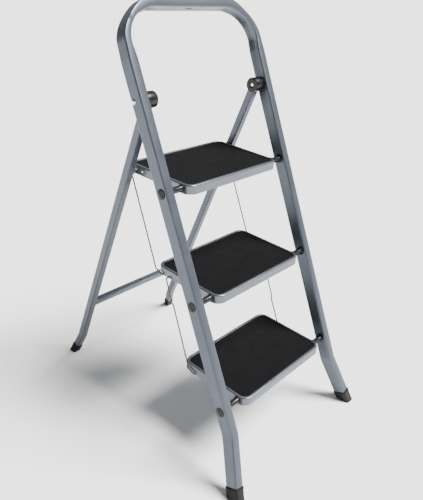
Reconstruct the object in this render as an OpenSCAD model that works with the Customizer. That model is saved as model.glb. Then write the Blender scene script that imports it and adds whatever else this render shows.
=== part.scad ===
// Folding three-step stool of bent steel tube, with pressed steel treads and rubber mats.
// Millimetres, +Z up, the steps face -Y. The origin is on the floor, under the middle of the stool.
// The top step's two studs rest in notches on the rear legs. Lifting the step frees them, and wires
// lift the other two steps with it.

/* [Front frame] */
// Angle at which the front frame leans back from upright
front_lean = 26; // [24:0.5:28]
// Width of the front frame's tube, across the stool
front_tube = 25; // [24:0.5:26]
// Depth of the front frame's tube, from front to back
front_depth = 33; // [25:0.5:36]
// Width over the two front legs, above their flared ends
frame_width = 450; // [440:1:470]
// Length from the floor to the middle of the handle tube, measured along the frame
handle_reach = 1120; // [1080:5:1180]
// Radius of the middle line of the two top bends
top_bend = 87.5; // [75:2.5:100]

/* [Rear frame] */
// Angle at which the rear legs lean from upright
rear_lean = 19; // [17:0.5:21]
// Side of the rear legs' square tube
rear_tube = 20; // [19:0.5:21]
// Width over the two rear legs, above their flared ends
rear_width = 388; // [384:1:390]
// Distance from the floor to the pivot, measured along the front frame
pivot_reach = 922; // [900:1:940]
// Side of the lower crossbar's square tube
crossbar_side = 18; // [16:1:19]
// Height of the lower crossbar's middle line above the floor
crossbar_height = 202; // [160:1:260]

/* [Flared feet] */
// Angle by which the lower ends of the legs turn outwards
flare = 13.7; // [10:0.1:16]
// Height, along a front leg, at which it turns outwards
front_flare_reach = 146; // [120:1:160]
// Height, along a rear leg, at which it turns outwards
rear_flare_reach = 64; // [60:1:80]

/* [Steps] */
// Height of the lowest tread above the floor
first_tread = 200; // [190:1:210]
// Height from one tread to the next
step_rise = 230; // [225:1:235]
// Width of a tread over its rim
tread_width = 326; // [320:1:326]
// Depth of a tread over its rim
tread_depth = 206; // [200:1:206]
// Radius of a tread's corners in plan
tread_corner = 25; // [20:1:26]
// Height of a tread from the top of its rim to the edge of its skirt
tread_height = 22; // [21:0.5:23]
// Thickness of a rubber mat
mat_thickness = 3.5; // [3:0.1:4]

/* [Hidden] */
$fn = 48;

LEFT = -1;
RIGHT = 1;
running = 0.06;        // radial clearance of a pin that turns in its hole
fixed_fit = 0.04;      // radial clearance of a pin that is clamped in its hole
apart = 0.4;           // gap between faces of parts that move past each other
bite = 1;              // how far a cutting shape passes the surface that it cuts

// Tubes
front_wall = 1.2;
rear_wall = 1.2;
front_corner = 3.5;
rear_corner = 3;
flare_bend = 60;       // radius of the middle line where a leg turns outwards
seam = 0.05;           // step from a straight stretch down to a bend
lap = 0.5;             // how far a straight stretch runs over a bend
leg_x = (frame_width - front_tube) / 2;
leg_inner_x = leg_x - front_tube / 2;
leg_outer_x = frame_width / 2;
rear_x = (rear_width - rear_tube) / 2;
rear_inner_x = rear_x - rear_tube / 2;
handle_turn = handle_reach - top_bend;

// Pivot of the rear frame, in the plane of the front frame and in the world
pivot_back = 8;
pivot_y = pivot_reach * sin(front_lean) + pivot_back * cos(front_lean);
pivot_z = pivot_reach * cos(front_lean) - pivot_back * sin(front_lean);
rear_reach = pivot_z / cos(rear_lean);
rear_top = 13;         // how far a rear leg runs on above its pivot

// Foot caps
foot_wall = 2.3;
front_foot_height = 32;
rear_foot_height = 27;
foot_floor = 14;       // rubber under the end of a tube, along the leg
front_section = [front_tube, front_depth];
rear_section = [rear_tube, rear_tube];
front_foot_section = front_section + [1, 1] * 2 * foot_wall;
rear_foot_section = rear_section + [1, 1] * 2 * foot_wall;

// The stool is moved along Y so that the origin is under the middle of its box
front_edge = -front_foot_section.y / 2 / cos(front_lean);
rear_edge = pivot_y + pivot_z * tan(rear_lean) + rear_foot_section.y / 2 / cos(rear_lean);
middle_y = (front_edge + rear_edge) / 2;

// Steps: each turns on an axle in the plane of the front frame
axle_drop = 10;        // axle below the top of the rim
axle_back = 24;        // axle behind the front edge of the tread
axle_r = 4;
axle_bore_r = 2.5;
rim_width = 8;
pan_drop = 5;
sheet = 1;
mat_gap = 1.5;
tray_side_x = tread_width / 2;
tray_mid_y = tread_depth / 2 - axle_back;

// Spacers and plugs on the axles
spacer_r = 7.6;
spacer_step_r = 9.8;
spacer_tube_r = 11.5;
spacer_flange = 2;
plug_r = 12;
plug_height = 2.8;
plug_stem = 9;

// Pivot hardware
pivot_r = 3;
pivot_head_r = 6.5;
pivot_tail_r = 3.9;
cap_r = 18;
cap_inner_x = rear_inner_x - 3;
cap_outer_x = leg_inner_x - apart;
cap_recess = 2;
cap_rivet_drop = 11;
cap_rivet_r = 2;
cap_rivet_head_r = 2.6;

// Studs on the top step, and the notched brackets on the rear legs that they rest in
stud_back = 153;       // behind the step's axle
stud_r = 3;
stud_flange_r = 4.2;
stud_flange = 0.8;
plate_sheet = 2;       // doubling plate inside the skirt
plate_rivet = [131, -1];
plate_rivet_r = 2;
plate_rivet_head_r = 3.5;
bracket_thickness = 3.6;
notch_slope = 42.3;    // way out of the notch, measured from straight back in the legs' frame

// Wires: ends in the skirts, behind and below the axle of each step
wire_r = 1.75;
knuckle_r = 1.9;       // at a wire's bends and ends
wire_drop = 9;
upper_wire_back = 156;
lower_wire_back_left = 137;
lower_wire_back_right = 120;
wire_out = 167.5;      // x of the wire outside the skirts
wire_in = 156;         // x of its bent end inside the skirts
wire_tail = 6;
wire_span = step_rise / cos(front_lean);

function tread_z(i) = first_tread + i * step_rise;
function axle_z(i) = tread_z(i) - axle_drop;
function axle_y(i) = axle_z(i) * tan(front_lean);
function axle_reach(i) = axle_z(i) / cos(front_lean);

steel = "#8d949e";
zinc = "#c9ccd0";
black = "#17181a";
rubber = "#232426";

// ---- Places ----------------------------------------------------------------------------------

// The front frame's plane: X across, Y backwards, Z up along the frame
module front_plane() { translate([0, -middle_y, 0]) rotate([-front_lean, 0, 0]) children(); }

// The rear frame's plane: origin at the pivot, Z up along the legs
module rear_plane() { translate([0, pivot_y - middle_y, pivot_z]) rotate([rear_lean, 0, 0]) children(); }

// A step's own place, with its origin on its axle
module at_step(i) { translate([0, axle_y(i) - middle_y, axle_z(i)]) children(); }

module side(s) { if (s == LEFT) mirror([1, 0, 0]) children(); else children(); }

// ---- Shapes ----------------------------------------------------------------------------------

module rounded(w, d, r) {
  square([w - 2 * r, d], center = true);
  square([w, d - 2 * r], center = true);
  for (x = [-1, 1], y = [-1, 1]) translate([x * (w / 2 - r), y * (d / 2 - r)]) circle(r);
}

// A round bar along X, from x0 to x1
module bar_x(r, x0, x1) { translate([x0, 0, 0]) rotate([0, 90, 0]) cylinder(r = r, h = x1 - x0); }

// A low dome along X, standing on the face at x0
module dome_x(r, h, x0) {
  ball = (r * r + h * h) / (2 * h);
  translate([x0, 0, 0]) rotate([0, 90, 0]) rotate_extrude() intersection() {
    translate([0, h - ball]) circle(ball, $fn = 180);
    square([r, h]);
  }
}

// A tube's cross-section, [across the stool, from front to back]
module tube_section(section, corner) { rounded(section.x, section.y, corner); }

// A bend of tube. It is a hair slimmer than the straight stretches, which lap over its ends.
module bent(section, corner, radius, angle) {
  rotate_extrude(angle = angle) translate([radius, 0]) tube_section(section - [1, 1] * 2 * seam, corner - seam);
}

// A tube's path down one leg: straight, then turned outwards near the floor
module leg_path(section, corner, x, top, floor_z, reach, end) {
  turn = flare_bend * tan(flare / 2);
  turn_z = floor_z + reach + turn;
  translate([x, 0, turn_z - lap]) linear_extrude(top - turn_z + lap) tube_section(section, corner);
  translate([x + flare_bend, 0, turn_z]) rotate([-90, 0, 180]) bent(section, corner, flare_bend, flare);
  at_foot(x, floor_z, reach) translate([0, 0, end])
    linear_extrude(reach / cos(flare) - turn - end + lap) tube_section(section, corner);
}

// The place where a flared leg's middle line meets the floor, with Z up along the leg
module at_foot(x, floor_z, reach) {
  translate([x + reach * tan(flare), 0, floor_z]) rotate([0, -flare, 0]) children();
}

// The front frame's whole path: two legs, two bends and the handle
module front_path(section, corner, end) {
  handle_x = leg_x - top_bend + lap;
  for (s = [LEFT, RIGHT]) side(s) {
    leg_path(section, corner, leg_x, handle_turn + lap, 0, front_flare_reach, end);
    translate([leg_x - top_bend, 0, handle_turn]) rotate([90, 0, 0]) bent(section, corner, top_bend, 90);
  }
  translate([-handle_x, 0, handle_reach]) rotate([0, 90, 0])
    linear_extrude(2 * handle_x) tube_section(section, corner);
}

module foot_cap(x, floor_z, reach, tube, tube_corner, outer, height) {
  at_foot(x, floor_z, reach) difference() {
    translate([0, 0, -outer.y]) linear_extrude(outer.y + height) tube_section(outer, tube_corner + foot_wall);
    translate([0, 0, foot_floor]) linear_extrude(height) tube_section(tube, tube_corner);
  }
}

module below_floor() { translate([-500, -500, -100]) cube([1000, 1000, 100]); }

// ---- Front frame -----------------------------------------------------------------------------

module front_frame() {
  slot_length = 16;
  slot_r = 2.5;
  color(steel) front_plane() difference() {
    front_path(front_section, front_corner, foot_floor);
    front_path(front_section - [1, 1] * 2 * front_wall, front_corner - front_wall, foot_floor - bite);
    for (i = [0 : 2]) translate([0, 0, axle_reach(i)])
      bar_x(axle_r + fixed_fit, -leg_outer_x - bite, leg_outer_x + bite);
    translate([0, pivot_back, pivot_reach]) bar_x(pivot_r + fixed_fit, -leg_outer_x - bite, leg_outer_x + bite);
    translate([0, 0, handle_reach - front_tube / 2 - bite]) {
      for (x = [-1, 1]) translate([x * slot_length / 2, 0, 0]) cylinder(r = slot_r, h = front_wall + 2 * bite);
      translate([-slot_length / 2, -slot_r, 0]) cube([slot_length, 2 * slot_r, front_wall + 2 * bite]);
    }
  }
}

module front_foot(s) {
  color(black) difference() {
    front_plane() side(s)
      foot_cap(leg_x, 0, front_flare_reach, front_section, front_corner, front_foot_section, front_foot_height);
    below_floor();
  }
}

module axle(i) {
  color(zinc) at_step(i) difference() {
    bar_x(axle_r, -leg_outer_x, leg_outer_x);
    for (s = [LEFT, RIGHT]) side(s) bar_x(axle_bore_r, leg_outer_x - plug_stem - 1, leg_outer_x + bite);
  }
}

module spacer(i, s) {
  step_end = tray_side_x + apart;
  color(black) at_step(i) side(s) difference() {
    union() {
      bar_x(spacer_r, step_end, leg_inner_x);
      bar_x(spacer_step_r, step_end, step_end + spacer_flange);
      bar_x(spacer_tube_r, leg_inner_x - spacer_flange, leg_inner_x);
    }
    bar_x(axle_r + fixed_fit, step_end - bite, leg_inner_x + bite);
  }
}

module plug(i, s) {
  ridge = [plug_height + 0.6, 18, 3];
  color(black) at_step(i) side(s) {
    bar_x(plug_r, leg_outer_x, leg_outer_x + 1);
    dome_x(plug_r, plug_height - 1, leg_outer_x + 1);
    bar_x(axle_bore_r - fixed_fit, leg_outer_x - plug_stem, leg_outer_x + 0.5);
    rotate([45, 0, 0]) translate([leg_outer_x + 0.5, -ridge[1] / 2, -ridge[2] / 2])
      cube([ridge[0] - 0.5, ridge[1], ridge[2]]);
  }
}

module pivot_rivet(s) {
  tail_x = cap_inner_x + apart;
  tail_end = cap_inner_x + cap_recess - apart;
  color(zinc) front_plane() translate([0, pivot_back, pivot_reach]) side(s) {
    bar_x(pivot_r, tail_x, leg_outer_x + 0.5);
    bar_x(pivot_tail_r, tail_x, tail_end);
    dome_x(pivot_head_r, 2.6, leg_outer_x);
  }
}

// ---- Rear frame ------------------------------------------------------------------------------

module rear_leg(s) {
  color(steel) rear_plane() side(s) difference() {
    leg_path(rear_section, rear_corner, rear_x, rear_top, -rear_reach, rear_flare_reach, foot_floor);
    leg_path(rear_section - [1, 1] * 2 * rear_wall, rear_corner - rear_wall, rear_x, rear_top + bite,
             -rear_reach, rear_flare_reach, foot_floor - bite);
    bar_x(pivot_r + running, rear_inner_x - bite, leg_inner_x);
    translate([0, 0, -cap_rivet_drop]) bar_x(cap_rivet_r + fixed_fit, rear_inner_x - bite, rear_x);
  }
}

module lower_crossbar() {
  hole_r = 2.5;
  reach = (pivot_z - crossbar_height) / cos(rear_lean);
  color(steel) rear_plane() translate([0, 0, -reach]) difference() {
    translate([-rear_inner_x, 0, 0]) rotate([0, 90, 0]) linear_extrude(2 * rear_inner_x)
      difference() {
        rounded(crossbar_side, crossbar_side, rear_corner);
        rounded(crossbar_side - 2 * rear_wall, crossbar_side - 2 * rear_wall, rear_corner - rear_wall);
      }
    cylinder(r = hole_r, h = crossbar_side);
  }
}

// Steel plate welded inside a rear leg, with an open notch for the top step's stud
module rest_bracket(s) {
  from_pivot = [axle_y(2) + stud_back - pivot_y, axle_z(2) - pivot_z];
  stud = [
    from_pivot[0] * cos(rear_lean) + from_pivot[1] * sin(rear_lean),
    from_pivot[1] * cos(rear_lean) - from_pivot[0] * sin(rear_lean)
  ];
  notch_r = stud_r + apart;
  color(steel) rear_plane() side(s)
    translate([rear_inner_x - bracket_thickness, stud[0], stud[1]]) rotate([90, 0, 90])
    linear_extrude(bracket_thickness) difference() {
      translate([stud_r / 2, -2]) rounded(17, 18, 3);
      circle(notch_r);
      rotate(notch_slope) translate([0, -notch_r]) square([30, 2 * notch_r]);
    }
}

module rear_foot(s) {
  color(black) difference() {
    rear_plane() side(s)
      foot_cap(rear_x, -rear_reach, rear_flare_reach, rear_section, rear_corner, rear_foot_section,
               rear_foot_height);
    below_floor();
  }
}

module pivot_cap(s) {
  recess_r = 7;
  color(black) rear_plane() side(s) difference() {
    bar_x(cap_r, cap_inner_x, cap_outer_x);
    translate([rear_x, 0, rear_top - 3 * cap_r]) linear_extrude(3 * cap_r) rounded(rear_tube, rear_tube, rear_corner);
    bar_x(pivot_r + running, cap_inner_x - bite, cap_outer_x + bite);
    bar_x(recess_r, cap_inner_x - bite, cap_inner_x + cap_recess);
    translate([0, 0, -cap_rivet_drop]) bar_x(cap_rivet_r + fixed_fit, cap_inner_x - bite, rear_x);
  }
}

module cap_rivet(s) {
  color(zinc) rear_plane() translate([0, 0, -cap_rivet_drop]) side(s) {
    bar_x(cap_rivet_r, cap_inner_x - 0.5, rear_inner_x + rear_wall);
    mirror([1, 0, 0]) dome_x(cap_rivet_head_r, 1.2, -cap_inner_x);
  }
}

// ---- Steps -----------------------------------------------------------------------------------

module tray_layer(inset, z0, z1) {
  translate([0, tray_mid_y, z0]) linear_extrude(z1 - z0)
    rounded(tread_width - 2 * inset, tread_depth - 2 * inset, tread_corner - inset);
}

module tray(i) {
  skirt_z = axle_drop - tread_height;
  pan_z = axle_drop - pan_drop;
  color(steel) at_step(i) difference() {
    tray_layer(0, skirt_z, axle_drop);
    tray_layer(rim_width, pan_z, axle_drop + bite);
    tray_layer(sheet, skirt_z - bite, pan_z - sheet);
    difference() {
      tray_layer(sheet, pan_z - sheet - bite, axle_drop - sheet);
      tray_layer(rim_width - sheet, pan_z - sheet - 2 * bite, axle_drop);
    }
    bar_x(axle_r + running, -tread_width, tread_width);
    wire_holes(i);
    if (i == 2) {
      translate([0, stud_back, 0]) bar_x(plate_rivet_r + fixed_fit, -tread_width, tread_width);
      translate([0, plate_rivet[0], plate_rivet[1]])
        bar_x(plate_rivet_r + fixed_fit, -tread_width, tread_width);
    }
  }
}

// Holes in a tray's skirts for the ends of the wires that join it
module wire_holes(i) {
  hole_r = wire_r + running;
  if (i > 0) translate([0, upper_wire_back, -wire_drop]) bar_x(hole_r, -tread_width, tread_width);
  if (i < 2) {
    translate([0, lower_wire_back_left, -wire_drop]) bar_x(hole_r, -tread_width, 0);
    translate([0, lower_wire_back_right, -wire_drop]) bar_x(hole_r, 0, tread_width);
  }
}

module mat(i) {
  color(rubber) at_step(i)
    tray_layer(rim_width + mat_gap, axle_drop - pan_drop, axle_drop - pan_drop + mat_thickness);
}

// A plate inside the top step's skirt that stiffens it where the stud is riveted on
module stud_plate(s) {
  color(zinc) at_step(2) side(s) difference() {
    translate([tray_side_x - sheet - plate_sheet, 0, 0]) rotate([90, 0, 90]) linear_extrude(plate_sheet)
      translate([(stud_back + plate_rivet[0]) / 2 - 1.5, 0.5]) rounded(35, 12, 3);
    translate([0, stud_back, 0]) bar_x(plate_rivet_r + fixed_fit, 0, tread_width);
    translate([0, plate_rivet[0], plate_rivet[1]]) bar_x(plate_rivet_r + fixed_fit, 0, tread_width);
  }
}

module rest_stud(s) {
  color(zinc) at_step(2) side(s) translate([0, stud_back, 0]) {
    bar_x(plate_rivet_r, tray_side_x - sheet - plate_sheet - 1, tray_side_x + 0.5);
    bar_x(stud_flange_r, tray_side_x, tray_side_x + stud_flange);
    bar_x(stud_r, tray_side_x + 0.5, rear_inner_x - apart);
  }
}

module plate_rivet(s) {
  color(zinc) at_step(2) side(s) translate([0, plate_rivet[0], plate_rivet[1]]) {
    bar_x(plate_rivet_r, tray_side_x - sheet - plate_sheet, tray_side_x + 0.5);
    dome_x(plate_rivet_head_r, 1.3, tray_side_x);
  }
}

// ---- Wires -----------------------------------------------------------------------------------

// A point on a wire: x across, u down the front frame's slope, w behind it
function on_wire(p) = [
  p[0],
  -p[1] * sin(front_lean) + p[2] * cos(front_lean),
  -p[1] * cos(front_lean) - p[2] * sin(front_lean)
];

// One straight stretch of a wire, with a knuckle at its far end
module link(a, b) {
  v = b - a;
  len = norm(v);
  translate(a) rotate([0, acos(v[2] / len), atan2(v[1], v[0])]) cylinder(r = wire_r, h = len);
  translate(b) sphere(knuckle_r);
}

// A wire from one step's skirt to the next, with its ends bent inside the skirts
module wire(i, s, back, top_x, bends) {
  ends = [
    [[wire_in, 0, -wire_tail], [wire_in, 0, 0], [top_x, 0, 0]],
    [[wire_out, wire_span, 0], [wire_in, wire_span, 0], [wire_in, wire_span, -wire_tail]]
  ];
  path = [for (p = concat(ends[0], bends, ends[1])) on_wire(p)];
  color(zinc) at_step(i) side(s) translate([0, back, -wire_drop]) {
    translate(path[0]) sphere(knuckle_r);
    for (k = [1 : len(path) - 1]) link(path[k - 1], path[k]);
  }
}

module upper_wire(s) {
  if (s == LEFT) wire(2, s, upper_wire_back, wire_out, [[wire_out, 6, 8], [wire_out, 238, 16]]);
  else wire(2, s, upper_wire_back, wire_out, [[wire_out, 128, 1]]);
}

module lower_wire(s) {
  if (s == LEFT) wire(1, s, lower_wire_back_left, 171,
                      [[171, 62, 5], [wire_out, 72, 5.5], [wire_out, 242, 14]]);
  else wire(1, s, lower_wire_back_right, 172.5, [[172.5, 165, 1], [wire_out, 176, 1]]);
}

// ---- Assembly --------------------------------------------------------------------------------

front_frame();
front_foot(LEFT);  // front_foot_left
front_foot(RIGHT);  // front_foot_right
axle(2);  // top_axle
axle(1);  // middle_axle
axle(0);  // lower_axle
spacer(2, LEFT);  // top_spacer_left
spacer(2, RIGHT);  // top_spacer_right
spacer(1, LEFT);  // middle_spacer_left
spacer(1, RIGHT);  // middle_spacer_right
spacer(0, LEFT);  // lower_spacer_left
spacer(0, RIGHT);  // lower_spacer_right
plug(2, LEFT);  // top_plug_left
plug(2, RIGHT);  // top_plug_right
plug(1, LEFT);  // middle_plug_left
plug(1, RIGHT);  // middle_plug_right
plug(0, LEFT);  // lower_plug_left
plug(0, RIGHT);  // lower_plug_right
pivot_rivet(LEFT);  // pivot_rivet_left
pivot_rivet(RIGHT);  // pivot_rivet_right
rear_leg(LEFT);  // rear_leg_left
rear_leg(RIGHT);  // rear_leg_right
lower_crossbar();
rest_bracket(LEFT);  // rest_bracket_left
rest_bracket(RIGHT);  // rest_bracket_right
rear_foot(LEFT);  // rear_foot_left
rear_foot(RIGHT);  // rear_foot_right
pivot_cap(LEFT);  // pivot_cap_left
pivot_cap(RIGHT);  // pivot_cap_right
cap_rivet(LEFT);  // cap_rivet_left
cap_rivet(RIGHT);  // cap_rivet_right
tray(2);  // top_tray
tray(1);  // middle_tray
tray(0);  // lower_tray
mat(2);  // top_mat
mat(1);  // middle_mat
mat(0);  // lower_mat
stud_plate(LEFT);  // stud_plate_left
stud_plate(RIGHT);  // stud_plate_right
rest_stud(LEFT);  // rest_stud_left
rest_stud(RIGHT);  // rest_stud_right
plate_rivet(LEFT);  // plate_rivet_left
plate_rivet(RIGHT);  // plate_rivet_right
upper_wire(LEFT);  // upper_wire_left
upper_wire(RIGHT);  // upper_wire_right
lower_wire(LEFT);  // lower_wire_left
lower_wire(RIGHT);  // lower_wire_right
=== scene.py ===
"""Finishes a folding three-step stool around its fixed frame."""

import math

import bmesh
import bpy
from bpy.props import FloatProperty, FloatVectorProperty, PointerProperty
from bpy.types import Operator, Panel, PropertyGroup
from mathutils import Euler, Matrix, Vector


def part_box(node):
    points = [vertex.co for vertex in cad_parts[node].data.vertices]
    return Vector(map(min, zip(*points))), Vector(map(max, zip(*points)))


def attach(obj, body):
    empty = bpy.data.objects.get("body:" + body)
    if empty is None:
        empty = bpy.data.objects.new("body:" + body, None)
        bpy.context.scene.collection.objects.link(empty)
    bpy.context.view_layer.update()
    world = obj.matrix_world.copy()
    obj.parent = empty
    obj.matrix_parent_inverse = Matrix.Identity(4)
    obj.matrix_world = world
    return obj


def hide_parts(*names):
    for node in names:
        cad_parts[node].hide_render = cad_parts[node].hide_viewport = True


bl_info = {
    "name": "Folding Step Stool",
    "version": (1, 0, 0),
    "blender": (4, 5, 0),
    "location": "View3D > Sidebar > Step Stool",
    "description": "Adds the finished pieces of a folding three-step stool around its frame",
    "category": "Add Mesh",
}

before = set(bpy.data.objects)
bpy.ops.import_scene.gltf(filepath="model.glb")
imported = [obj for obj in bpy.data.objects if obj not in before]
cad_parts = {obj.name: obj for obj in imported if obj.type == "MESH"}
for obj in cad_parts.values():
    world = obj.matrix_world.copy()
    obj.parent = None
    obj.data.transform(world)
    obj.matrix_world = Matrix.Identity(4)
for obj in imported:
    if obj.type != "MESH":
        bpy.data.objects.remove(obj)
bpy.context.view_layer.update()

STEPS = ("top", "middle", "lower")
SIDES = {"left": -1, "right": 1}


def middle(node):
    """The middle of a frame node's box."""
    low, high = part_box(node)
    return (low + high) / 2


AXLES = {step: middle(f"{step}_axle") for step in STEPS}
RUN = AXLES["top"] - AXLES["lower"]
FRONT_LEAN = math.atan2(RUN.y, RUN.z)
FLOOR_Y = AXLES["lower"].y - AXLES["lower"].z * math.tan(FRONT_LEAN)
LEG_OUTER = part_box("top_axle")[1].x
PIVOT = middle("pivot_rivet_right")
CROSSBAR = middle("lower_crossbar")
REAR_LEAN = math.atan2(CROSSBAR.y - PIVOT.y, PIVOT.z - CROSSBAR.z)
REAR_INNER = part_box("lower_crossbar")[1].x
TRAY_LOW, TRAY_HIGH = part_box("top_tray")
TRAY_SIZE = TRAY_HIGH - TRAY_LOW
MAT_LOW, MAT_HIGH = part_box("top_mat")
MAT_SIZE = MAT_HIGH - MAT_LOW

# Radii of the holes in the treads' skirts
AXLE_HOLE = 0.00406
WIRE_HOLE = 0.00181
STUD_HOLE = 0.00204
SKIRT_BORE = 0.15  # a drill for one skirt starts this far from the middle of the stool

# How far the wires' holes are behind the axles
UPPER_BACK = 0.156
LOWER_BACK = {"left": 0.137, "right": 0.12}

# The press marks at the top bends
PRESS_LEAD = 0.03  # the stretch beside each bend that the press marks too
LEAD_RINGS = 6
BEND_RINGS = 30
GROOVE_WIDTHS = (0.72, 0.5, 0.28)  # shares of the tube's depth

# The drain slot in the handle: length, width and corner radius
DRAIN_SLOT = (0.021, 0.005, 0.00249)

# The rubber feet: width and depth, corner radius, height
FRONT_FOOT = ((0.0296, 0.0376), 0.0058, 0.032)
REAR_FOOT = ((0.0246, 0.0246), 0.0053, 0.027)
FOOT_WALL = 0.0023
FOOT_RISE = 0.014  # from the floor to the front tube's end, along the leg
FOOT_COLLAR = 0.006
FOOT_LIP = 0.0007
FOOT_MOUTH_ROUND = 0.0006
FOOT_SOLE_ROUND = 0.0018

# Roundings of the mats and of the small plastic pieces
MAT_LIP_ROUND = 0.0012
MAT_FIELD_ROUND = 0.0003
SPACER_ROUND = 0.0006
PLUG_ROUND = 0.0004
PIVOT_CAP_ROUND = 0.0018

# Stage
FLOOR_SIZE = 200
BACKDROP_LIGHT = 2.2
SUN_SPREAD = math.radians(28)
SUN_AIM = Vector((-0.36, 0.42, -0.85))
LENS_SHIFT = (0.0097, 0.0029)

# Spans for merging and for finding places
TINY = 1e-6
NEAR = 1e-5


def wire_places(step, side):
    """How far behind its axle a tread holds wires at one side."""
    lower = LOWER_BACK[side]
    return {"top": (UPPER_BACK,), "middle": (UPPER_BACK, lower), "lower": (lower,)}[step]


# ---- Settings ----------------------------------------------------------------------------------


def length(name, description, default):
    """A length in metres that the user may change."""
    return FloatProperty(
        name=name, description=description, default=default, min=0, unit="LENGTH", precision=4
    )


def turn(name, description, degrees):
    """An angle that the user may change."""
    return FloatProperty(
        name=name, description=description, default=math.radians(degrees), subtype="ANGLE"
    )


def tint(name, description, default):
    """A colour that the user may change."""
    return FloatVectorProperty(name=name, description=description, default=default, size=3, subtype="COLOR")


class StoolTube(PropertyGroup):
    width: length("Tube width", "Width of the front frame's tube, across the stool", 0.025)
    depth: length("Tube depth", "Depth of the front frame's tube, from front to back", 0.033)
    corner: length("Tube corner", "Radius along the tube's corners", 0.0035)
    handle_reach: length("Handle reach", "From the floor to the handle's middle line, along the frame", 1.12)
    bend: length("Top bend", "Radius of the middle line of the two top bends", 0.0875)
    flare_reach: length("Flare reach", "Height along a front leg at which it turns outwards", 0.146)
    rear_side: length("Rear tube side", "Side of the rear legs' square tube", 0.02)
    rear_flare_reach: length("Rear flare reach", "Height along a rear leg at which it turns outwards", 0.064)
    flare_bend: length("Flare bend", "Radius of the middle line where a leg turns outwards", 0.06)
    flare: turn("Flare", "Angle of the flared ends", 13.7)
    outer_press: length("Outer press", "How far the outer wall is pressed in at a top bend", 0.0105)
    inner_press: length("Inner press", "How far the inner wall is pressed in below a top bend", 0.0045)
    groove: length("Groove", "Depth of the groove along the inner wall of a top bend", 0.0027)


class StoolTread(PropertyGroup):
    corner: length("Tread corner", "Radius of a tread's corners in plan", 0.025)
    rim: length("Rim", "Width of the raised rim", 0.008)
    pan: length("Pan depth", "Depth of the pan below the rim", 0.005)
    sheet: length("Sheet", "Thickness of the pressed sheet", 0.001)
    outer_round: length("Outer rounding", "Radius over the rim's outer edge", 0.0035)
    inner_round: length("Inner rounding", "Radius over the rim's inner edge", 0.0018)
    mat_lip: length("Mat lip", "Width of the raised lip round a mat", 0.0035)
    mat_dish: length("Mat dish", "Depth of a mat's field below its lip", 0.0007)


class StoolWire(PropertyGroup):
    radius: length("Wire radius", "Radius of the linking wires", 0.00175)
    bend: length("Wire bend", "Radius of the wires' bends", 0.0042)
    drop: length("Wire drop", "Height of the wires' holes below the axles", 0.009)
    out: length("Wire place", "Distance of the wires from the middle of the stool", 0.1675)
    hook: length("Wire hook", "Distance of the bent ends from the middle of the stool", 0.156)
    tail: length("Wire tail", "Length of the bent ends", 0.006)


class StoolFinish(PropertyGroup):
    paint: tint("Paint", "Silver-grey powder coat", (0.098, 0.112, 0.138))
    sheet_paint: tint("Tread paint", "Powder coat on the treads", (0.15, 0.163, 0.186))
    rubber: tint("Mat rubber", "Rubber of the mats", (0.0028, 0.0029, 0.0036))
    foot_rubber: tint("Foot rubber", "Rubber of the feet", (0.006, 0.006, 0.006))
    plastic: tint("Plastic", "Black plastic of caps, spacers and plugs", (0.005, 0.0055, 0.0065))
    zinc: tint("Zinc", "Zinc plate on wires and axles", (0.11, 0.107, 0.1))
    bright: tint("Bright steel", "Rivets and studs", (0.72, 0.72, 0.73))


class StoolStage(PropertyGroup):
    floor: tint("Floor", "Colour of the floor", (0.95, 0.95, 0.95))
    key: FloatProperty(name="Key light", description="Strength of the soft sun", default=11.0, min=0)
    room: FloatProperty(
        name="Room light", description="Strength of the light from all round", default=0.36, min=0
    )
    camera_place: FloatVectorProperty(
        name="Camera place",
        description="Where the camera stands",
        default=(-0.976, FLOOR_Y - 0.4613, 1.0906),
        unit="LENGTH",
    )
    heading: turn("Heading", "Turn of the camera", 49.68)
    pitch: turn("Pitch", "Tilt of the camera", -27.77)
    roll: turn("Roll", "Roll of the camera", 5.22)
    lens: FloatProperty(
        name="Lens", description="Focal length for a 36 mm sensor, in millimetres", default=39.26
    )


class StoolSettings(PropertyGroup):
    tube: PointerProperty(type=StoolTube)
    tread: PointerProperty(type=StoolTread)
    wire: PointerProperty(type=StoolWire)
    finish: PointerProperty(type=StoolFinish)
    stage: PointerProperty(type=StoolStage)


# ---- Modelling ---------------------------------------------------------------------------------


def start_clean():
    """Leaves object mode on, with nothing selected."""
    if bpy.context.object and bpy.context.object.mode != "OBJECT":
        bpy.ops.object.mode_set(mode="OBJECT")
    bpy.ops.object.select_all(action="DESELECT")


def pick(piece):
    """Makes a piece the active and only selected one."""
    start_clean()
    bpy.context.view_layer.objects.active = piece
    piece.select_set(True)


def settle(piece, place):
    """Puts a piece in its place and leaves that place in its mesh."""
    pick(piece)
    piece.matrix_world = place @ piece.matrix_world
    bpy.ops.object.transform_apply(location=True, rotation=True, scale=True)


def select_all(piece):
    """Starts to edit a piece, all of it selected."""
    pick(piece)
    bpy.ops.object.mode_set(mode="EDIT")
    bpy.ops.mesh.select_all(action="SELECT")


def face_outwards():
    """Turns the faces of the edited piece outwards and stops editing."""
    bpy.ops.mesh.select_all(action="SELECT")
    bpy.ops.mesh.normals_make_consistent(inside=False)
    bpy.ops.object.mode_set(mode="OBJECT")


def rounded_face(name, width, depth, corner, height, segments):
    """A flat face with rounded corners at a height, in edit mode and selected."""
    start_clean()
    bpy.ops.mesh.primitive_plane_add(size=1, location=(0, 0, height))
    piece = bpy.context.object
    piece.name = name
    piece.scale = (width, depth, 1)
    bpy.ops.object.transform_apply(location=True, rotation=True, scale=True)
    select_all(piece)
    bpy.ops.mesh.bevel(offset=corner, segments=segments, affect="VERTICES")
    return piece


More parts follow.
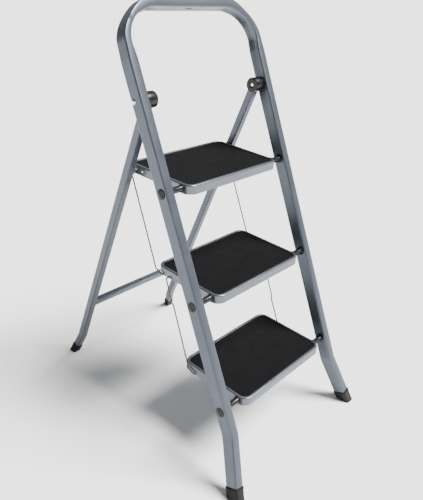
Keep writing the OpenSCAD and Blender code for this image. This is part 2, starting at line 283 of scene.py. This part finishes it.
def choose(piece, kind, test):
    """Selects the vertices, edges or faces that pass a test."""
    bpy.ops.mesh.select_mode(type=kind)
    bpy.ops.mesh.select_all(action="DESELECT")
    mesh = bmesh.from_edit_mesh(piece.data)
    for item in {"VERT": mesh.verts, "EDGE": mesh.edges, "FACE": mesh.faces}[kind]:
        if test(item):
            item.select_set(True)
    mesh.select_flush_mode()
    bmesh.update_edit_mesh(piece.data)


def pull(x=0.0, z=0.0):
    """Extrudes what is selected, across or upwards."""
    bpy.ops.mesh.extrude_region_move(TRANSFORM_OT_translate={"value": (x, 0, z)})


def at_height(edge, height, reach=NEAR):
    """Whether both ends of an edge lie at a height."""
    return all(abs(v.co.z - height) < reach for v in edge.verts)


def is_sharp(edge, angle=0.6):
    """Whether an edge's two faces meet at more than an angle."""
    return len(edge.link_faces) == 2 and edge.calc_face_angle() > angle


def modify(piece, kind, **values):
    """Adds a modifier and applies it."""
    pick(piece)
    modifier = piece.modifiers.new(kind.title(), kind)
    for name, value in values.items():
        setattr(modifier, name, value)
    bpy.ops.object.modifier_apply(modifier=modifier.name)


def smooth(piece, degrees=32):
    """Smooth shading, except over sharp edges."""
    pick(piece)
    bpy.ops.object.shade_smooth_by_angle(angle=math.radians(degrees))


def copy_of(piece, name):
    """A copy of a piece with its own mesh."""
    twin = piece.copy()
    twin.data = piece.data.copy()
    twin.name = name
    bpy.context.scene.collection.objects.link(twin)
    return twin


def hand_over(piece, body, slot, material, *nodes):
    """Gives a finished piece its material and its body, and hides the nodes that it stands for. The slot is
    not used.
    """
    piece.data.materials.clear()
    piece.data.materials.append(bpy.data.materials[material])
    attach(piece, body)
    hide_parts(*nodes)


def box_place(node):
    """From the middle of a piece's underside to that of a node's box."""
    low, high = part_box(node)
    return Matrix.Translation(((low.x + high.x) / 2, (low.y + high.y) / 2, low.z))


def front_place():
    """From the front frame's own plane, with Z up along it, to the stool."""
    return Matrix.Translation((0, FLOOR_Y, 0)) @ Matrix.Rotation(-FRONT_LEAN, 4, "X")


def rear_place():
    """From the rear legs' own plane, with its origin at the floor and Z up along the legs, to the stool."""
    reach = Matrix.Translation((0, 0, -PIVOT.z / math.cos(REAR_LEAN)))
    return Matrix.Translation((0, PIVOT.y, PIVOT.z)) @ Matrix.Rotation(REAR_LEAN, 4, "X") @ reach


# ---- Shader groups and materials ---------------------------------------------------------------


class NodeTree:
    """Adds nodes to a tree and links them."""

    def __init__(self, tree):
        self.tree = tree

    def add(self, kind, inputs=None, **values):
        node = self.tree.nodes.new(kind)
        for name, value in values.items():
            setattr(node, name, value)
        for name, value in (inputs or {}).items():
            if isinstance(value, bpy.types.NodeSocket):
                self.tree.links.new(value, node.inputs[name])
            else:
                node.inputs[name].default_value = value
        return node

    def combine(self, operation, first, second):
        """The result of a math node on two values."""
        return self.add("ShaderNodeMath", {0: first, 1: second}, operation=operation).outputs[0]

    def link(self, output, target):
        self.tree.links.new(output, target)


def grain_group(name, patch_scale, grain_scale, grain_detail):
    """Colour patches, fine grain, uneven gloss and a relief, for one kind of surface."""
    group = bpy.data.node_groups.new(name, "ShaderNodeTree")
    for socket in ("Light", "Dark"):
        group.interface.new_socket(socket, in_out="INPUT", socket_type="NodeSocketColor")
    for socket in ("Patches", "Grain", "Gloss Low", "Gloss High"):
        group.interface.new_socket(socket, in_out="INPUT", socket_type="NodeSocketFloat")
    group.interface.new_socket("Color", in_out="OUTPUT", socket_type="NodeSocketColor")
    for socket in ("Roughness", "Height"):
        group.interface.new_socket(socket, in_out="OUTPUT", socket_type="NodeSocketFloat")
    tree = NodeTree(group)
    given = tree.add("NodeGroupInput").outputs
    place = tree.add("ShaderNodeTexCoord").outputs["Object"]
    patches = tree.add(
        "ShaderNodeTexNoise", {"Vector": place, "Scale": patch_scale, "Detail": 5.0, "Roughness": 0.6}
    )
    grain = tree.add(
        "ShaderNodeTexNoise",
        {"Vector": place, "Scale": grain_scale, "Detail": grain_detail, "Roughness": 0.65},
    )
    cells = tree.add("ShaderNodeTexVoronoi", {"Vector": place, "Scale": grain_scale * 0.6})
    patch_share = tree.combine("MULTIPLY", patches.outputs["Fac"], given["Patches"])
    grain_share = tree.combine("MULTIPLY", grain.outputs["Fac"], given["Grain"])
    share = tree.combine("ADD", patch_share, grain_share)
    colour = tree.add("ShaderNodeMix", {"Factor": share}, data_type="RGBA")
    tree.link(given["Light"], colour.inputs["A"])
    tree.link(given["Dark"], colour.inputs["B"])
    gloss = tree.add(
        "ShaderNodeMapRange",
        {
            "Value": patches.outputs["Fac"],
            "From Min": 0.3,
            "From Max": 0.7,
            "To Min": given["Gloss Low"],
            "To Max": given["Gloss High"],
        },
    )
    height = tree.combine("ADD", grain.outputs["Fac"], cells.outputs["Distance"])
    result = tree.add("NodeGroupOutput").inputs
    colour_out = next(s for s in colour.outputs if s.type == "RGBA")
    tree.link(colour_out, result["Color"])
    tree.link(gloss.outputs["Result"], result["Roughness"])
    tree.link(height, result["Height"])


def finish_material(name, group, colour, dark, patches, grain, gloss, bump, metallic=0.0, specular=0.5):
    """A material whose colour, gloss and relief come from a grain group."""
    material = bpy.data.materials.new(name)
    material.use_nodes = True
    tree = NodeTree(material.node_tree)
    shader = material.node_tree.nodes["Principled BSDF"]
    shader.inputs["Metallic"].default_value = metallic
    shader.inputs["Specular IOR Level"].default_value = specular
    surface = tree.add("ShaderNodeGroup", node_tree=bpy.data.node_groups[group])
    values = {
        "Light": (*colour, 1),
        "Dark": (*(c * dark for c in colour), 1),
        "Patches": patches,
        "Grain": grain,
        "Gloss Low": gloss[0],
        "Gloss High": gloss[1],
    }
    for socket, value in values.items():
        surface.inputs[socket].default_value = value
    strength, distance = bump
    relief = tree.add(
        "ShaderNodeBump",
        {"Strength": strength, "Distance": distance, "Height": surface.outputs["Height"]},
    )
    tree.link(surface.outputs["Color"], shader.inputs["Base Color"])
    tree.link(surface.outputs["Roughness"], shader.inputs["Roughness"])
    tree.link(relief.outputs["Normal"], shader.inputs["Normal"])


class STOOL_OT_materials(Operator):
    """Makes the stool's materials"""

    bl_idname = "stool.materials"
    bl_label = "Materials"

    def execute(self, context):
        finish = context.scene.step_stool.finish
        grain_group("Powder Coat", patch_scale=14.0, grain_scale=900.0, grain_detail=2.0)
        grain_group("Rubber Grain", patch_scale=26.0, grain_scale=1100.0, grain_detail=3.0)
        grain_group("Moulded Grain", patch_scale=60.0, grain_scale=1600.0, grain_detail=1.0)
        grain_group("Zinc Plate", patch_scale=90.0, grain_scale=700.0, grain_detail=4.0)
        finish_material(
            "Tube Paint",
            "Powder Coat",
            finish.paint,
            dark=0.72,
            patches=0.35,
            grain=0.45,
            gloss=(0.3, 0.42),
            bump=(0.2, 0.0002),
            metallic=0.7,
        )
        finish_material(
            "Tread Paint",
            "Powder Coat",
            finish.sheet_paint,
            dark=0.75,
            patches=0.35,
            grain=0.4,
            gloss=(0.24, 0.36),
            bump=(0.16, 0.0002),
            metallic=0.8,
        )
        finish_material(
            "Mat Rubber",
            "Rubber Grain",
            finish.rubber,
            dark=0.45,
            patches=0.7,
            grain=0.6,
            gloss=(0.62, 0.82),
            bump=(0.6, 0.0004),
            specular=0.12,
        )
        finish_material(
            "Foot Rubber",
            "Rubber Grain",
            finish.foot_rubber,
            dark=0.5,
            patches=0.6,
            grain=0.5,
            gloss=(0.55, 0.75),
            bump=(0.35, 0.0003),
            specular=0.25,
        )
        finish_material(
            "Black Plastic",
            "Moulded Grain",
            finish.plastic,
            dark=0.6,
            patches=0.4,
            grain=0.4,
            gloss=(0.24, 0.36),
            bump=(0.12, 0.0002),
            specular=0.3,
        )
        finish_material(
            "Dull Zinc",
            "Zinc Plate",
            finish.zinc,
            dark=0.55,
            patches=0.6,
            grain=0.5,
            gloss=(0.32, 0.5),
            bump=(0.2, 0.0001),
            metallic=1.0,
        )
        finish_material(
            "Bright Steel",
            "Zinc Plate",
            finish.bright,
            dark=0.8,
            patches=0.4,
            grain=0.3,
            gloss=(0.16, 0.28),
            bump=(0.08, 0.0001),
            metallic=1.0,
        )
        return {"FINISHED"}


# ---- Front frame -------------------------------------------------------------------------------


def outer_share(way):
    """The share of the outer press, from the leg, 0, to the handle, 1."""
    least, start = 0.24, 0.08
    hump = math.sin(math.pi * min(max((way - start) / (1 - start), 0), 1)) ** 1.5
    return least + (1 - least) * hump


def inner_share(way):
    """The share of the inner press, from the leg, 0, to the handle, 1."""
    return math.cos(0.9 * math.pi * way) * (1 - way**6)


class STOOL_OT_frame_tube(Operator):
    """Bends the front frame's tube, from the handle to the flared feet"""

    bl_idname = "stool.frame_tube"
    bl_label = "Front frame tube"

    def execute(self, context):
        tube = context.scene.step_stool.tube
        leg_x = LEG_OUTER - tube.width / 2
        turn_x = leg_x - tube.bend
        turn_z = tube.handle_reach - tube.bend
        piece = rounded_face("frame_tube", tube.width, tube.depth, tube.corner, 0, segments=4)
        choose(piece, "EDGE", lambda e: abs(e.verts[0].co.x - e.verts[1].co.x) < TINY)
        bpy.ops.mesh.subdivide(number_cuts=11)
        bpy.ops.object.mode_set(mode="OBJECT")
        settle(piece, Matrix.Translation((0, 0, tube.handle_reach)) @ Matrix.Rotation(math.pi / 2, 4, "Y"))
        select_all(piece)
        pull(x=turn_x - PRESS_LEAD)
        for _ in range(LEAD_RINGS):
            pull(x=PRESS_LEAD / LEAD_RINGS)
        bpy.ops.mesh.spin(steps=BEND_RINGS, angle=-math.pi / 2, center=(turn_x, 0, turn_z), axis=(0, 1, 0))
        for _ in range(LEAD_RINGS):
            pull(z=-PRESS_LEAD / LEAD_RINGS)
        tangent = tube.flare_bend * math.tan(tube.flare / 2)
        flare_z = tube.flare_reach + tangent
        pull(z=flare_z - turn_z + PRESS_LEAD)
        centre = (leg_x + tube.flare_bend, 0, flare_z)
        bpy.ops.mesh.spin(steps=6, angle=tube.flare, center=centre, axis=(0, 1, 0))
        rest = tube.flare_reach / math.cos(tube.flare) - tangent - FOOT_RISE
        pull(x=rest * math.sin(tube.flare), z=-rest * math.cos(tube.flare))
        choose(piece, "FACE", lambda f: all(abs(v.co.x) < TINY for v in f.verts))
        bpy.ops.mesh.delete(type="ONLY_FACE")
        self.press(piece, tube, turn_x, turn_z)
        modify(piece, "MIRROR", merge_threshold=NEAR)
        select_all(piece)
        face_outwards()
        self.cut_slot(piece, tube)
        settle(piece, front_place())
        smooth(piece, 28)
        hand_over(piece, "front_frame", "painted_tube", "Tube Paint", "front_frame")
        return {"FINISHED"}

    def press(self, piece, tube, turn_x, turn_z):
        """Presses the outer wall in and grooves the inner wall, ring by ring, as the bending tool does."""
        rings = []
        for k in range(1, LEAD_RINGS + 1):
            fade = 1 - k / (LEAD_RINGS + 1)
            beyond = k * PRESS_LEAD / LEAD_RINGS
            rings.append((Vector((turn_x - beyond, 0, tube.handle_reach)), Vector((0, 0, 1)), 1.0, fade))
            rings.append((Vector((turn_x + tube.bend, 0, turn_z - beyond)), Vector((1, 0, 0)), 0.0, fade))
        for k in range(BEND_RINGS + 1):
            angle = math.pi / 2 * k / BEND_RINGS
            out = Vector((math.sin(angle), 0, math.cos(angle)))
            rings.append((Vector((turn_x, 0, turn_z)) + out * tube.bend, out, 1 - k / BEND_RINGS, 1.0))
        for at, out, way, fade in rings:
            outer = -tube.outer_press * fade * outer_share(way)
            inner = tube.inner_press * fade * inner_share(way)
            self.dent(piece, tube, at, out, lambda height, y: height > 0, outer)
            self.dent(piece, tube, at, out, lambda height, y: height < 0, inner)
            for width in GROOVE_WIDTHS:
                reach = tube.depth / 2 * width
                depth = tube.groove * fade / len(GROOVE_WIDTHS)
                self.dent(piece, tube, at, out, lambda height, y: height < 0 and abs(y) < reach, depth)

    def dent(self, piece, tube, at, out, test, distance):
        """Moves the chosen wall of one ring outwards from the bend's centre."""
        along = out.cross(Vector((0, 1, 0)))

        def on_wall(vertex):
            apart = vertex.co - at
            in_ring = apart.length < tube.width and abs(apart.dot(along)) < NEAR
            return in_ring and test(apart.dot(out), vertex.co.y)

        choose(piece, "VERT", on_wall)
        bpy.ops.transform.translate(value=out * distance)

    def cut_slot(self, piece, tube):
        """Cuts the drain slot in the underside of the handle."""
        below = 0.002
        through = 0.0045
        height = tube.handle_reach - tube.width / 2 - below
        slot = rounded_face("slot_cutter", *DRAIN_SLOT, height, segments=6)
        pull(z=through)
        face_outwards()
        modify(piece, "BOOLEAN", operation="DIFFERENCE", object=slot, solver="EXACT")
        bpy.data.objects.remove(slot)


# ---- Treads ------------------------------------------------------------------------------------


class STOOL_OT_treads(Operator):
    """Presses the three steel treads, with their rims and skirts"""

    bl_idname = "stool.treads"
    bl_label = "Treads"

    def execute(self, context):
        tread = context.scene.step_stool.tread
        top = TRAY_SIZE.z
        piece = rounded_face("tread", TRAY_SIZE.x, TRAY_SIZE.y, tread.corner, top, segments=12)
        bpy.ops.mesh.inset(thickness=tread.rim)
        pull(z=-tread.pan)
        choose(piece, "EDGE", lambda e: e.is_boundary)
        pull(z=-top)
        bpy.ops.mesh.select_all(action="SELECT")
        bpy.ops.mesh.normals_make_consistent(inside=False)
        rim = tread.rim / 2
        choose(
            piece,
            "EDGE",
            lambda e: at_height(e, top) and is_sharp(e) and self.inside(e, tread.corner) < rim,
        )
        bpy.ops.mesh.bevel(offset=tread.outer_round, segments=6)
        choose(piece, "EDGE", lambda e: at_height(e, top) and is_sharp(e))
        bpy.ops.mesh.bevel(offset=tread.inner_round, segments=4)
        choose(piece, "EDGE", lambda e: at_height(e, top - tread.pan) and is_sharp(e))
        bpy.ops.mesh.bevel(offset=tread.inner_round / 2, segments=3)
        bpy.ops.object.mode_set(mode="OBJECT")
        modify(piece, "SOLIDIFY", thickness=tread.sheet, offset=-1)
        smooth(piece)
        for step in STEPS:
            tray = copy_of(piece, f"{step}_tread")
            self.bore_holes(tray, step, context.scene.step_stool.wire.drop)
            settle(tray, box_place(f"{step}_tray"))
            hand_over(tray, f"{step}_step", "painted_sheet", "Tread Paint", f"{step}_tray")
        bpy.data.objects.remove(piece)
        return {"FINISHED"}

    def bore_holes(self, tray, step, drop):
        """Bores one tread's holes: for its axle, its wires and, at the top, its studs and rivets."""
        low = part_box(f"{step}_tray")[0]
        self.bore(tray, AXLE_HOLE, (-TRAY_SIZE.x, TRAY_SIZE.x), AXLES[step] - low)
        for side, sign in SIDES.items():
            ends = sorted((sign * SKIRT_BORE, sign * TRAY_SIZE.x))
            for back in wire_places(step, side):
                self.bore(tray, WIRE_HOLE, ends, AXLES[step] + Vector((0, back, -drop)) - low)
            if step == "top":
                for node in ("rest_stud", "plate_rivet"):
                    self.bore(tray, STUD_HOLE, ends, middle(f"{node}_{side}") - low)

    def inside(self, edge, corner):
        """How far an edge's middle is inside the tread's outline."""
        at = (edge.verts[0].co + edge.verts[1].co) / 2
        over = Vector((abs(at.x) - TRAY_SIZE.x / 2 + corner, abs(at.y) - TRAY_SIZE.y / 2 + corner))
        beyond = Vector((max(over.x, 0), max(over.y, 0)))
        return corner - beyond.length - min(max(over.x, over.y), 0)

    def bore(self, tray, radius, ends, at):
        """Bores a round hole across the tread, between two ends, at a place from its lowest front corner."""
        start_clean()
        low, high = ends
        bpy.ops.mesh.primitive_cylinder_add(
            vertices=24,
            radius=radius,
            depth=high - low,
            location=((low + high) / 2, at.y - TRAY_SIZE.y / 2, at.z),
            rotation=(0, math.pi / 2, 0),
        )
        drill = bpy.context.object
        modify(tray, "BOOLEAN", operation="DIFFERENCE", object=drill, solver="EXACT")
        bpy.data.objects.remove(drill)


class STOOL_OT_mats(Operator):
    """Moulds the three rubber mats, each with a raised lip"""

    bl_idname = "stool.mats"
    bl_label = "Mats"

    def execute(self, context):
        tread = context.scene.step_stool.tread
        top = MAT_SIZE.z
        corner = tread.corner - (TRAY_SIZE.x - MAT_SIZE.x) / 2
        piece = rounded_face("mat", MAT_SIZE.x, MAT_SIZE.y, corner, 0, segments=12)
        pull(z=top)
        bpy.ops.mesh.inset(thickness=tread.mat_lip)
        bpy.ops.mesh.inset(thickness=tread.mat_dish * 1.5)
        bpy.ops.transform.translate(value=(0, 0, -tread.mat_dish))
        choose(piece, "EDGE", lambda e: at_height(e, top) and is_sharp(e, 1.0))
        bpy.ops.mesh.bevel(offset=MAT_LIP_ROUND, segments=4)
        field = tread.mat_dish * 1.1
        choose(piece, "EDGE", lambda e: is_sharp(e, 0.3) and abs(e.verts[0].co.z - top) < field)
        bpy.ops.mesh.bevel(offset=MAT_FIELD_ROUND, segments=2)
        bpy.ops.object.mode_set(mode="OBJECT")
        smooth(piece)
        for step in STEPS:
            mat = copy_of(piece, f"{step}_tread_mat")
            settle(mat, box_place(f"{step}_mat"))
            hand_over(mat, f"{step}_step", "rubber_mat", "Mat Rubber", f"{step}_mat")
        bpy.data.objects.remove(piece)
        return {"FINISHED"}


# ---- Wires -------------------------------------------------------------------------------------


def rounded_path(points, radius, steps=6):
    """The points of a bent wire: each corner becomes an arc."""
    path = [points[0]]
    for before, corner, after in zip(points, points[1:], points[2:]):
        back, ahead = (before - corner).normalized(), (after - corner).normalized()
        opening = back.angle(ahead)
        shortest = min((before - corner).length, (after - corner).length)
        setback = min(radius / math.tan(opening / 2), 0.45 * shortest)
        arc_radius = setback * math.tan(opening / 2)
        centre = corner + (back + ahead).normalized() * arc_radius / math.sin(opening / 2)
        start, end = corner + back * setback - centre, corner + ahead * setback - centre
        swing = start.angle(end)
        for k in range(steps + 1):
            part = Matrix.Rotation(swing * k / steps, 3, start.cross(end).normalized())
            path.append(centre + part @ start)
    path.append(points[-1])
    return path


class STOOL_OT_wires(Operator):
    """Bends the four linking wires"""

    bl_idname = "stool.wires"
    bl_label = "Wires"

    def execute(self, context):
        wire = context.scene.step_stool.wire
        out = wire.out
        left, right = 0.171, 0.1725  # how far out the lower wires run at their upper ends
        upper_left = [(out, 0.006, 0.008), (out, 0.238, 0.016)]
        upper_right = [(out, 0.128, 0.001)]
        lower_left = [(left, 0.062, 0.005), (out, 0.072, 0.0055), (out, 0.242, 0.014)]
        lower_right = [(right, 0.165, 0.001), (out, 0.176, 0.001)]
        self.bend(wire, "upper", "left", "top", UPPER_BACK, out, upper_left)
        self.bend(wire, "upper", "right", "top", UPPER_BACK, out, upper_right)
        self.bend(wire, "lower", "left", "middle", LOWER_BACK["left"], left, lower_left)
        self.bend(wire, "lower", "right", "middle", LOWER_BACK["right"], right, lower_right)
        return {"FINISHED"}

    def bend(self, wire, row, side, step, back, top_x, bends):
        """One wire. Its bends are given across, down the frame's slope and behind it."""
        span = RUN.length / 2
        top_end = [(wire.hook, 0, -wire.tail), (wire.hook, 0, 0), (top_x, 0, 0)]
        low_end = [(wire.out, span, 0), (wire.hook, span, 0), (wire.hook, span, -wire.tail)]
        start = AXLES[step] + Vector((0, back, -wire.drop))
        down = -RUN.normalized()
        behind = down.cross(Vector((1, 0, 0))).normalized()
        behind = behind if behind.y > 0 else -behind
        stops = [*top_end, *bends, *low_end]
        points = [start + Vector((SIDES[side] * x, 0, 0)) + down * u + behind * w for x, u, w in stops]
        name = f"{row}_wire_{side}"
        curve = bpy.data.curves.new(f"{name}_bent", "CURVE")
        curve.dimensions = "3D"
        path = rounded_path(points, wire.bend)
        spline = curve.splines.new("POLY")
        spline.points.add(len(path) - 1)
        for point, at in zip(spline.points, path):
            point.co = (*at, 1)
        curve.bevel_depth = wire.radius
        curve.bevel_resolution = 5
        curve.use_fill_caps = True
        piece = bpy.data.objects.new(f"{name}_bent", curve)
        bpy.context.scene.collection.objects.link(piece)
        pick(piece)
        bpy.ops.object.convert(target="MESH")
        piece = bpy.context.object
        select_all(piece)
        bpy.ops.mesh.remove_doubles(threshold=TINY)
        face_outwards()
        smooth(piece, 40)
        hand_over(piece, name, "zinc_wire", "Dull Zinc", name)


# ---- Feet --------------------------------------------------------------------------------------


def flared_place(side, x, reach, flare, plane):
    """The place of a flared leg's end, where its middle line meets the floor."""
    return (
        plane
        @ Matrix.Translation((side * (x + reach * math.tan(flare)), 0, 0))
        @ Matrix.Rotation(-side * flare, 4, "Y")
    )


class STOOL_OT_feet(Operator):
    """Moulds the four rubber feet, cut flat at the floor"""

    bl_idname = "stool.feet"
    bl_label = "Feet"

    def execute(self, context):
        tube = context.scene.step_stool.tube
        leg_x = LEG_OUTER - tube.width / 2
        rear_x = REAR_INNER + tube.rear_side / 2
        for side, sign in SIDES.items():
            place = flared_place(sign, leg_x, tube.flare_reach, tube.flare, front_place())
            self.mould(f"front_foot_{side}", place, *FRONT_FOOT, "front_frame")
            place = flared_place(sign, rear_x, tube.rear_flare_reach, tube.flare, rear_place())
            self.mould(f"rear_foot_{side}", place, *REAR_FOOT, "rear_frame")
        return {"FINISHED"}

    def mould(self, node, place, section, corner, height, body):
        """One foot: a rounded cap with a collar round its mouth, bisected by the floor."""
        width, depth = section
        slim_width, slim_depth = width - 2 * FOOT_LIP, depth - 2 * FOOT_LIP
        piece = rounded_face(f"{node}_cap", slim_width, slim_depth, corner, -depth, segments=6)
        pull(z=depth + height - FOOT_COLLAR)
        pull()
        bpy.ops.transform.resize(value=(width / slim_width, depth / slim_depth, 1))
        pull(z=FOOT_COLLAR)
        bpy.ops.mesh.inset(thickness=FOOT_WALL)
        pull(z=-FOOT_COLLAR / 3)
        choose(piece, "EDGE", lambda e: is_sharp(e, 0.9) and e.verts[0].co.z > 0)
        bpy.ops.mesh.bevel(offset=FOOT_MOUTH_ROUND, segments=2)
        bpy.ops.object.mode_set(mode="OBJECT")
        settle(piece, place)
        select_all(piece)
        bpy.ops.mesh.bisect(plane_co=(0, 0, 0), plane_no=(0, 0, 1), use_fill=True, clear_inner=True)
        choose(piece, "EDGE", lambda e: at_height(e, 0, TINY) and is_sharp(e, 0.3))
        bpy.ops.mesh.bevel(offset=FOOT_SOLE_ROUND, segments=4)
        face_outwards()
        smooth(piece)
        hand_over(piece, body, "rubber_foot", "Foot Rubber", node)


# ---- Small plastic pieces ----------------------------------------------------------------------


class STOOL_OT_plastics(Operator):
    """Eases the edges of the spacers, plugs and pivot caps"""

    bl_idname = "stool.plastics"
    bl_label = "Plastic pieces"

    def execute(self, context):
        for side in SIDES:
            for step in STEPS:
                self.ease(f"{step}_spacer_{side}", SPACER_ROUND, "front_frame")
                self.ease(f"{step}_plug_{side}", PLUG_ROUND, "front_frame")
            self.ease(f"pivot_cap_{side}", PIVOT_CAP_ROUND, "rear_frame")
        return {"FINISHED"}

    def ease(self, node, width, body):
        """Stands a copy of a node in for it, with rounded edges."""
        piece = copy_of(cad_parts[node], f"{node}_eased")
        for key in list(piece.keys()):
            del piece[key]
        piece.parent = None
        select_all(piece)
        bpy.ops.mesh.remove_doubles(threshold=TINY)
        bpy.ops.mesh.dissolve_limited(angle_limit=math.radians(2))
        bpy.ops.object.mode_set(mode="OBJECT")
        modify(piece, "BEVEL", width=width, segments=3, limit_method="ANGLE", angle_limit=math.radians(40))
        smooth(piece)
        hand_over(piece, body, "black_plastic", "Black Plastic", node)


# ---- Metal kept from the frame -----------------------------------------------------------------


class STOOL_OT_hardware(Operator):
    """Paints and plates the pieces whose shape is kept"""

    bl_idname = "stool.hardware"
    bl_label = "Legs and hardware"

    def execute(self, context):
        finishes = {
            "Tube Paint": ("rear_leg", "lower_crossbar", "rest_bracket"),
            "Dull Zinc": ("axle", "stud_plate", "cap_rivet"),
            "Bright Steel": ("pivot_rivet", "plate_rivet", "rest_stud"),
        }
        for name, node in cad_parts.items():
            for material, words in finishes.items():
                if any(word in name for word in words):
                    for slot in node.material_slots:
                        slot.material = bpy.data.materials[material]
                    if not node.material_slots:
                        node.data.materials.append(bpy.data.materials[material])
        return {"FINISHED"}


# ---- Stage -------------------------------------------------------------------------------------


class STOOL_OT_stage(Operator):
    """Sets the floor, the soft studio light and the camera"""

    bl_idname = "stool.stage"
    bl_label = "Stage"

    def execute(self, context):
        stage = context.scene.step_stool.stage
        self.lay_floor(stage)
        self.light_room(stage)
        self.hang_key(stage)
        self.set_camera(stage)
        return {"FINISHED"}

    def lay_floor(self, stage):
        start_clean()
        bpy.ops.mesh.primitive_plane_add(size=FLOOR_SIZE, location=(0, 0, 0))
        floor = bpy.context.object
        floor.name = "floor"
        paint = bpy.data.materials.new("Floor Paint")
        paint.use_nodes = True
        shader = paint.node_tree.nodes["Principled BSDF"]
        shader.inputs["Base Color"].default_value = (*stage.floor, 1)
        shader.inputs["Roughness"].default_value = 0.9
        floor.data.materials.append(paint)

    def light_room(self, stage):
        """Lights the stool from all round, less from the left, in front of a pale backdrop."""
        world = bpy.data.worlds.new("Studio")
        world.use_nodes = True
        background = world.node_tree.nodes["Background"]
        background.inputs["Color"].default_value = (0.94, 0.97, 1.0, 1)
        room = NodeTree(world.node_tree)
        way = room.add("ShaderNodeTexCoord").outputs["Generated"]
        across = room.add("ShaderNodeSeparateXYZ", {"Vector": way}).outputs["X"]
        left, right = 0.15, 1.85  # shares of the room's light
        fall = {
            "Value": across,
            "From Min": -1.0,
            "From Max": 1.0,
            "To Min": stage.room * left,
            "To Max": stage.room * right,
        }
        strength = room.add("ShaderNodeMapRange", fall).outputs["Result"]
        seen = room.add("ShaderNodeLightPath").outputs["Is Camera Ray"]
        backdrop = room.add("ShaderNodeMix", {"Factor": seen, "A": strength, "B": BACKDROP_LIGHT})
        room.link(backdrop.outputs["Result"], background.inputs["Strength"])
        bpy.context.scene.world = world

    def hang_key(self, stage):
        sun = bpy.data.lights.new("key", "SUN")
        sun.energy = stage.key
        sun.angle = SUN_SPREAD
        sun.color = (1.0, 0.99, 0.97)
        key = bpy.data.objects.new("key", sun)
        bpy.context.scene.collection.objects.link(key)
        key.matrix_world = SUN_AIM.to_track_quat("-Z", "Y").to_matrix().to_4x4()

    def set_camera(self, stage):
        camera = bpy.data.objects.new("camera", bpy.data.cameras.new("camera"))
        bpy.context.scene.collection.objects.link(camera)
        look = Euler((math.pi / 2 + stage.pitch, 0, -stage.heading)).to_matrix().to_4x4()
        roll = Matrix.Rotation(stage.roll, 4, "Z")
        camera.matrix_world = Matrix.Translation(stage.camera_place) @ look @ roll
        camera.data.lens = stage.lens
        camera.data.shift_x, camera.data.shift_y = LENS_SHIFT
        bpy.context.scene.camera = camera


# ---- Add-on ------------------------------------------------------------------------------------

OPERATORS = (
    STOOL_OT_materials,
    STOOL_OT_frame_tube,
    STOOL_OT_treads,
    STOOL_OT_mats,
    STOOL_OT_wires,
    STOOL_OT_feet,
    STOOL_OT_plastics,
    STOOL_OT_hardware,
    STOOL_OT_stage,
)


class STOOL_PT_pieces(Panel):
    """Lists the stool's pieces"""

    bl_label = "Step Stool"
    bl_idname = "STOOL_PT_pieces"
    bl_space_type = "VIEW_3D"
    bl_region_type = "UI"
    bl_category = "Step Stool"

    def draw(self, context):
        for operator in OPERATORS:
            self.layout.operator(operator.bl_idname)


SETTINGS = (StoolTube, StoolTread, StoolWire, StoolFinish, StoolStage, StoolSettings)
CLASSES = (*SETTINGS, *OPERATORS, STOOL_PT_pieces)


def register():
    for kind in CLASSES:
        bpy.utils.register_class(kind)
    bpy.types.Scene.step_stool = PointerProperty(type=StoolSettings)


def unregister():
    del bpy.types.Scene.step_stool
    for kind in reversed(CLASSES):
        bpy.utils.unregister_class(kind)


def main():
    register()
    for operator in OPERATORS:
        family, piece = operator.bl_idname.split(".")
        getattr(getattr(bpy.ops, family), piece)()
    start_clean()


if __name__ == "__main__":
    main()
